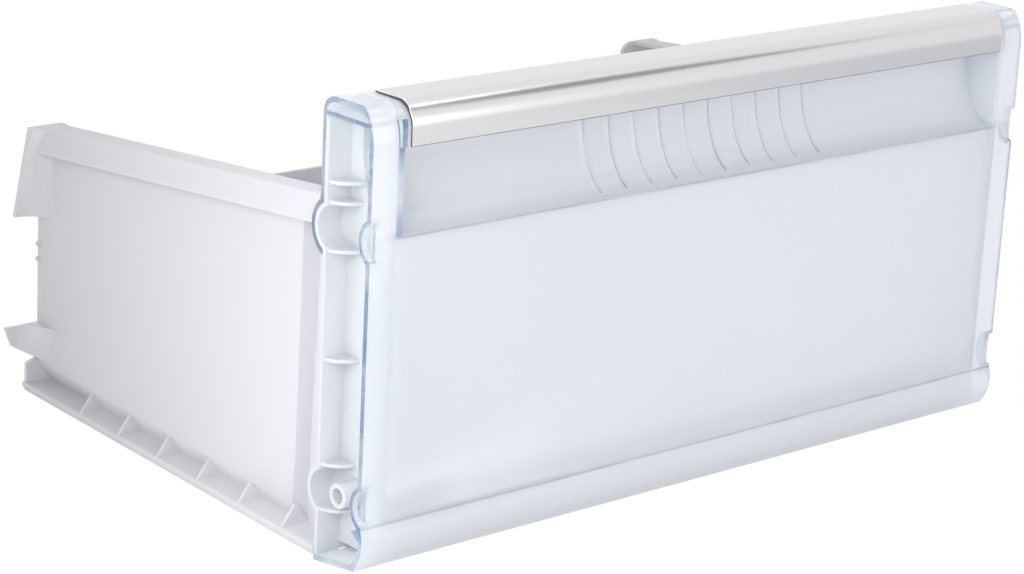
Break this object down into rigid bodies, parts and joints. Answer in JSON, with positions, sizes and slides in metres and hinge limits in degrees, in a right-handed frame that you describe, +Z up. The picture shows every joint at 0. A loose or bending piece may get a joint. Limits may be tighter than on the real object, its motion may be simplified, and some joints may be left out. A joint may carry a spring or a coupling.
{
  "type": "freezer drawer",
  "caption": "Freezer drawer: an open white tub with runner lips, a frame, a clear front with a finger recess and a trim strip.",
  "frame": {"origin": "under the middle of the drawer, at the level that it stands on", "axes": "+X to the drawer's right seen from the front, +Y to the rear, +Z up"},
  "size_m": [0.466, 0.2901, 0.228],
  "materials": {
    "tub_plastic": "satin",
    "frame_plastic": "satin",
    "clear_plastic": "polished",
    "trim_metal": "satin"
  },
  "bodies": {
    "root": {"tub": "tub_plastic", "front_frame": "frame_plastic", "front_panel": "clear_plastic", "handle_trim": "trim_metal"}
  },
  "joints": []
}
